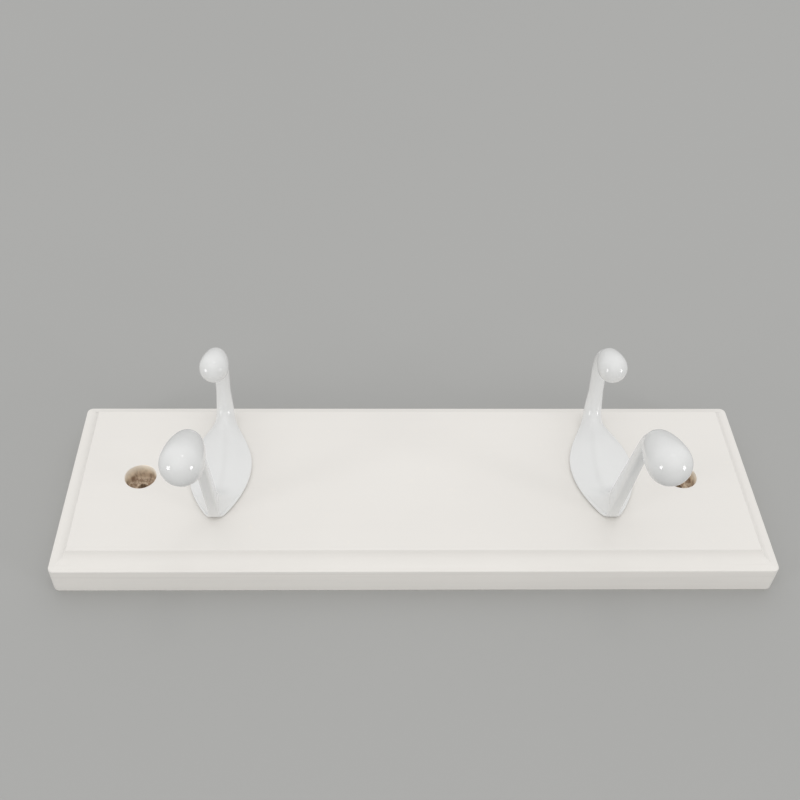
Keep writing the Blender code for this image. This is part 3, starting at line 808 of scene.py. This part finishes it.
def plate(hook, corners):
    """Rails and sizes of the leaf plate, from the hat prong's root to the coat prong's.

    With them come how round its sections are, and how far each has spread from a prong's form to the leaf's.
    """
    hat_root, coat_root = corners["hat"][2], corners["coat"][2]
    hat_half = corners["inward"] * hook.hat_depth / 2
    coat_half = corners["outward"] * hook.coat_depth / 2
    outer = filleted([hat_root - hat_half, corners["tip"], corners["heel"], coat_root + coat_half],
                     [hook.tip_radius, hook.heel_radius])
    inner = filleted([hat_root + hat_half, corners["valley"], corners["crook"], coat_root - coat_half],
                     [hook.valley_radius, hook.crook_radius])
    outer_run, inner_run = lengths(outer), lengths(inner)
    flat, bend, end = ARC_STEPS, ARC_STEPS + 1, 2 * ARC_STEPS
    to_valley = inner[flat, 0] - outer[flat, 0]
    to_crook = inner[bend, 0] - CROOK_LEAD - outer[flat, 0]
    outer_at = [0, (outer_run[1] + outer_run[flat]) / 2, outer_run[flat] + to_valley,
                outer_run[flat] + to_crook, (outer_run[bend] + outer_run[end]) / 2, outer_run[-1]]
    inner_at = [0, TIP_LEAD * inner_run[1], inner_run[flat],
                inner_run[bend] - CROOK_LEAD, (inner_run[bend] + inner_run[end]) / 2, inner_run[-1]]
    t = np.linspace(0, 1, PLATE_SECTIONS)
    lower = walk(outer, ease(t, PLATE_STOPS, outer_at))
    upper = walk(inner, ease(t, PLATE_STOPS, inner_at))
    root, tip, valley, crook, heel, coat = PLATE_STOPS
    hat_fin, coat_fin = hook.hat_width / 2, hook.coat_width / 2
    fin_end = (tip + valley) / 2
    fin = ease(t, [root, fin_end, valley, crook, coat], [hat_fin, hat_fin, 0, 0, coat_fin])
    neck = np.where(t < fin_end, hat_fin, coat_fin)
    foot = FOOT_START * tip
    on_board = ease(t, [root, foot, tip, (crook + heel) / 2, coat], [0, FOOT_SPREAD, 1, 1, 0])
    wide = neck + (leaf_half_width(hook, lower[:, 0]) - neck) * on_board
    flare = ease(t, [root, tip, valley, coat], [FLARE_AT_FIN, FLARE_AT_FIN, FLARE_ON_LEAF, FLARE_ON_LEAF])
    round_share = ease(t, [root, foot, tip, crook, coat], [HAT_ROUNDNESS, HAT_ROUNDNESS, 0, 0, 1])
    return lower, upper, wide, fin, flare, round_share, on_board


def hook_sheet(hook, x, face):
    """The casting: sections from the hat knob's tip to the coat knob's, each a closed ring between two rails.

    Half a section's plate form is a flat back, an edge and a flank that falls from the crest to the edge as a
    power of a cosine. The edge is a quarter round on the hat prong and grows to a half round on the leaf. The
    round form is half an ellipse; sections mix the two forms, and the other half is the mirror.
    """
    def joined(before, between, after):
        """A value of each section, from the hat prong over the plate to the coat prong."""
        return np.concatenate([before, between, after])[:, None]

    corners = hook_corners(hook)
    hat = prong(*corners["hat"], hook.hat_elbow, hook.hat_knob, hook.hat_nose, hook.hat_tail,
                hook.hat_neck, hook.hat_depth, hook.hat_width)
    coat = prong(*corners["coat"], hook.coat_elbow, hook.coat_knob, hook.coat_nose, hook.coat_tail,
                 hook.coat_depth, hook.coat_depth, hook.coat_width)
    # both prongs leave their root to the plate, and the coat prong runs on to its tip
    hat = [rail[:-1] for rail in hat]
    coat = [rail[-2::-1] for rail in coat]
    lower, upper, wide, fin, flare, round_share, spread = plate(hook, corners)
    hat_count, coat_count = len(hat[2]), len(coat[2])
    outer = np.vstack([hat[0], lower, coat[1]])
    inner = np.vstack([hat[1], upper, coat[0]])
    wide = joined(hat[2], wide, coat[2])
    fin = joined(hat[2], fin, coat[2])
    flare = joined(np.full(hat_count, flare[0]), flare, np.full(coat_count, flare[-1]))
    share = joined(hat[3], round_share, np.ones(coat_count))
    spread = joined(np.zeros(hat_count), spread, np.zeros(coat_count))

    thick = np.hypot(*(inner - outer).T)[:, None]
    edge = np.clip(hook.leaf_edge / np.maximum(thick, WELD), 0, EDGE_LIMIT)
    rounding = hook.hat_rounding + (hook.leaf_rounding - hook.hat_rounding) * spread
    rounding = np.minimum(rounding, ROUNDING_LIMIT * wide)
    shoulder = wide - rounding
    along = np.linspace(0, 1, BACK_POINTS)[None, :]
    last = pi / 2 * (1 + spread)
    swing = last * np.linspace(0, 1, EDGE_POINTS)[None, 1:]
    turn = np.linspace(0, pi / 2, FLANK_POINTS)[None, 1:]
    climb = np.sin(turn) ** 2
    crest = fin * (1 - climb ** FIN_SQUARENESS) ** (1 / FIN_SQUARENESS)
    flank = (shoulder + rounding * np.sin(last) - fin) * np.cos(turn) ** (2 * flare) + crest
    flat = shoulder * along
    plate_side = np.hstack([flat, shoulder + rounding * np.sin(swing), flank])
    plate_rise = np.hstack([np.zeros_like(flat), edge * (1 - np.cos(swing)) / (1 - np.cos(last)),
                            edge + (1 - edge) * climb])
    sweep = np.linspace(-pi / 2, pi / 2, plate_side.shape[1])[None, :]
    side = (1 - share) * plate_side + share * wide * np.cos(sweep)
    rise = (1 - share) * plate_rise + share * (1 + np.sin(sweep)) / 2
    side[:, 0] = side[:, -1] = 0
    side = np.hstack([side, -side[:, -2:0:-1]])
    rise = np.hstack([rise, rise[:, -2:0:-1]])
    place = outer[:, None, :] + (inner - outer)[:, None, :] * rise[:, :, None]
    return sheet_of(np.stack([x + side, face - place[:, :, 1], -place[:, :, 0]], axis=-1), around=True)


def turned(x, z, radius, turn, height):
    """Points turned about a line along Y, with a radius and a height at each angle."""
    points = np.broadcast_arrays(x + radius * np.cos(turn), height, z + radius * np.sin(turn))
    return np.stack(points, axis=-1)


def screw_sheets(screw, x, z, seat, end):
    """A pan-head screw along Y: a domed head sunk by a cross, and a threaded shank that ends in a taper.

    The head's height is a quarter ellipse over a straight rim, less the depth of the nearer of two crossed
    grooves. The shank's radius falls from the crest to the root with the distance from a helix.
    """
    turn = np.linspace(0, 2 * pi, SCREW_TURNS, endpoint=False)[None, :]
    out = np.linspace(0, 1, HEAD_RINGS)[:, None] ** HEAD_POWER
    head_radius, shank_radius = screw.head / 2, screw.shank / 2
    radius = head_radius * np.sin(out * pi / 2)
    along, over = abs(radius * np.cos(turn)), abs(radius * np.sin(turn))
    arm, reach = np.minimum(along, over), np.maximum(along, over)
    rim = RIM_SHARE * screw.head_height
    dome = seat + rim + (screw.head_height - rim) * np.cos(out * pi / 2)
    arm_length = CROSS_REACH * screw.head
    within_side = np.clip((screw.slot / 2 - arm) / (CROSS_SIDE * screw.slot) + 0.5, 0, 1)
    within_end = np.clip((arm_length - reach) / (CROSS_END * screw.head) + 0.5, 0, 1)
    slope = 1 - CROSS_RISE * np.clip(reach / arm_length, 0, 1)
    head = turned(x, z, radius, turn, dome - screw.recess * (within_side * within_end) * slope)
    line = np.array([(head_radius, seat + rim), (head_radius, seat + RIM_FOOT * rim),
                     (RIM_TUCK * head_radius, seat), (shank_radius, seat)])
    under = turned(x, z, line[:, :1], turn, line[:, 1:])
    fall = np.linspace(seat, end, SHANK_ROWS)[:, None]
    taper = np.clip((fall - end) / screw.point, POINT_SHARE, 1)
    phase = (fall / screw.pitch - turn / (2 * pi)) % 1
    started = np.clip((seat - fall) / screw.pitch, 0, 1)
    valley = np.clip(THREAD_SLOPE * abs(phase - 0.5) - THREAD_CREST, 0, 1)
    crest = shank_radius * taper - screw.thread * started * valley
    shank = np.vstack([turned(x, z, crest, turn, fall), turned(x, z, 0, turn, end)])
    return [sheet_of(part, around=True) for part in (head, under, shank)]


class COATRACK_OT_board(bpy.types.Operator):
    """Make the painted board with its cove and bores"""
    bl_idname = "coat_rack.board"
    bl_label = "Board"

    def execute(self, context):
        rack = context.scene.coat_rack
        sheets = board_sheets(rack.board, rack.hook, rack.screw)
        make_piece("painted_board", sheets, paint_material(rack.board), "board")
        return {"FINISHED"}


class COATRACK_OT_hooks(bpy.types.Operator):
    """Make the two cast double hooks"""
    bl_idname = "coat_rack.hooks"
    bl_label = "Hooks"

    def execute(self, context):
        rack = context.scene.coat_rack
        enamel = enamel_material(rack.hook)
        face = -(rack.board.thickness + rack.hook.seat_gap)
        for side, x in hook_places(rack.hook):
            sheet = hook_sheet(rack.hook, x, face)
            make_piece(f"cast_hook_{side}", [sheet], enamel, f"hook_{side}")
        return {"FINISHED"}


class COATRACK_OT_screws(bpy.types.Operator):
    """Make the four screws that hold the hooks"""
    bl_idname = "coat_rack.screws"
    bl_label = "Hook Screws"

    def execute(self, context):
        rack = context.scene.coat_rack
        hook, screw = rack.hook, rack.screw
        zinc = zinc_material(screw)
        seat = -screw.sink_depth + hook.seat_gap
        end = -(rack.board.thickness + hook.seat_gap) - screw.grip - screw.point
        for side, x in hook_places(hook):
            for place, z in screw_places(hook, screw):
                sheets = screw_sheets(screw, x, z, seat, end)
                make_piece(f"pan_screw_{side}_{place}", sheets, zinc,
                           f"hook_screw_{side}_{place}")
        return {"FINISHED"}


def look_from(place, dip, yaw, roll):
    """A camera's matrix: it looks down the board from its upper edge, dipped from the board's plane.

    It is then turned about the board's normal and about its own axis.
    """
    right = Vector((-cos(yaw), 0, -sin(yaw)))
    ahead = Vector((sin(yaw), 0, -cos(yaw)))
    down = Vector((0, 1, 0))
    forward = ahead * cos(dip) + down * sin(dip)
    up = ahead * sin(dip) - down * cos(dip)
    right, up = right * cos(roll) + up * sin(roll), up * cos(roll) - right * sin(roll)
    turn = Matrix((right, up, -forward)).transposed().to_4x4()
    turn.translation = place
    return turn


def add_lamp(name, place, diameter, watts):
    """A round lamp that faces the rack."""
    lamp = bpy.data.lights.new(name, "AREA")
    lamp.shape = "DISK"
    lamp.size = diameter
    lamp.energy = watts
    holder = add_object(name, lamp)
    holder.location = place
    holder.rotation_euler = (-Vector(place)).to_track_quat("-Z", "Y").to_euler()
    holder.visible_camera = False


def set_sky(strength):
    """Soft light all round: most in front and behind, less at the sides, a little more above and below."""
    world = bpy.data.worlds.new("studio")
    world.use_nodes = True
    tree = world.node_tree
    way = place_node(tree, "TexCoord").outputs["Generated"]
    axes = place_node(tree, "SeparateXYZ", {0: way}).outputs
    facing = work_out(tree, "ABSOLUTE", axes[1])
    below = stretch(tree, axes[2], 0.0, -1.0, 0.0, SKY_BELOW * strength)
    above = times(tree, facing, stretch(tree, axes[2], 0.0, 1.0, 0.0, SKY_ABOVE * strength))
    level = work_out(tree, "MULTIPLY_ADD", facing, SKY_FACING * strength, SKY_LEVEL * strength)
    fill(tree, tree.nodes["Background"].inputs, {
        "Color": (1, 1, 1, 1),
        "Strength": work_out(tree, "ADD", level, work_out(tree, "ADD", below, above)),
    })
    bpy.context.scene.world = world


class COATRACK_OT_stage(bpy.types.Operator):
    """Lay the ground, hang the lamps and set the camera"""
    bl_idname = "coat_rack.stage"
    bl_label = "Stage"

    def execute(self, context):
        rack = context.scene.coat_rack
        stage = rack.stage
        steps = np.linspace(-stage.reach, stage.reach, GROUND_STEPS)
        points, faces, _ = sheet_of(lift(np.stack(np.meshgrid(steps, steps), axis=-1), -stage.drop))
        mesh = bpy.data.meshes.new("ground")
        mesh.from_pydata(points, [], faces)
        mesh.materials.append(ground_material(stage, rack.board))
        ground = add_object("ground", mesh)

        set_sky(stage.sky)
        aim = Vector(SIDE_LAMP_WAY).normalized() * stage.lamp_distance
        add_lamp("lamp_left", aim, stage.lamp_size, stage.side_power)
        add_lamp("lamp_right", (-aim.x, aim.y, aim.z), stage.lamp_size, stage.side_power)
        add_lamp("lamp_front", FRONT_LAMP_PLACE, FRONT_LAMP_SHARE * stage.lamp_size, stage.front_power)

        view = bpy.data.cameras.new("camera")
        view.sensor_width = SENSOR
        view.lens = FOCAL * SENSOR / PICTURE
        view.shift_x = (PICTURE / 2 - CENTRE[0]) / PICTURE
        view.shift_y = (CENTRE[1] - PICTURE / 2) / PICTURE
        camera = add_object("camera", view)
        camera.matrix_world = look_from(CAMERA_PLACE, CAMERA_DIP, CAMERA_YAW, CAMERA_ROLL)
        context.scene.camera = camera
        context.scene.view_settings.view_transform = "Standard"
        return {"FINISHED"}


class COATRACK_PT_sidebar(bpy.types.Panel):
    """The rack's pieces and their sizes"""
    bl_label = "Coat Rack"
    bl_idname = "COATRACK_PT_sidebar"
    bl_space_type = "VIEW_3D"
    bl_region_type = "UI"
    bl_category = "Coat Rack"

    def draw(self, context):
        rack = context.scene.coat_rack
        for operator, settings in (("board", rack.board), ("hooks", rack.hook), ("screws", rack.screw),
                                   ("stage", rack.stage)):
            box = self.layout.box()
            box.operator(f"coat_rack.{operator}")
            for name in settings.__annotations__:
                box.prop(settings, name)


CLASSES = (BoardSettings, HookSettings, ScrewSettings, StageSettings, RackSettings, COATRACK_OT_board,
           COATRACK_OT_hooks, COATRACK_OT_screws, COATRACK_OT_stage, COATRACK_PT_sidebar)


def register():
    """Make the settings, operators and panel known."""
    for entry in CLASSES:
        bpy.utils.register_class(entry)
    bpy.types.Scene.coat_rack = PointerProperty(type=RackSettings)


def unregister():
    """Take the settings, operators and panel away."""
    del bpy.types.Scene.coat_rack
    for entry in reversed(CLASSES):
        bpy.utils.unregister_class(entry)


def main():
    """Build the rack on its stage."""
    register()
    bpy.ops.coat_rack.stage()
    bpy.ops.coat_rack.board()
    bpy.ops.coat_rack.hooks()
    bpy.ops.coat_rack.screws()
    bpy.context.view_layer.update()


if __name__ == "__main__":
    main()
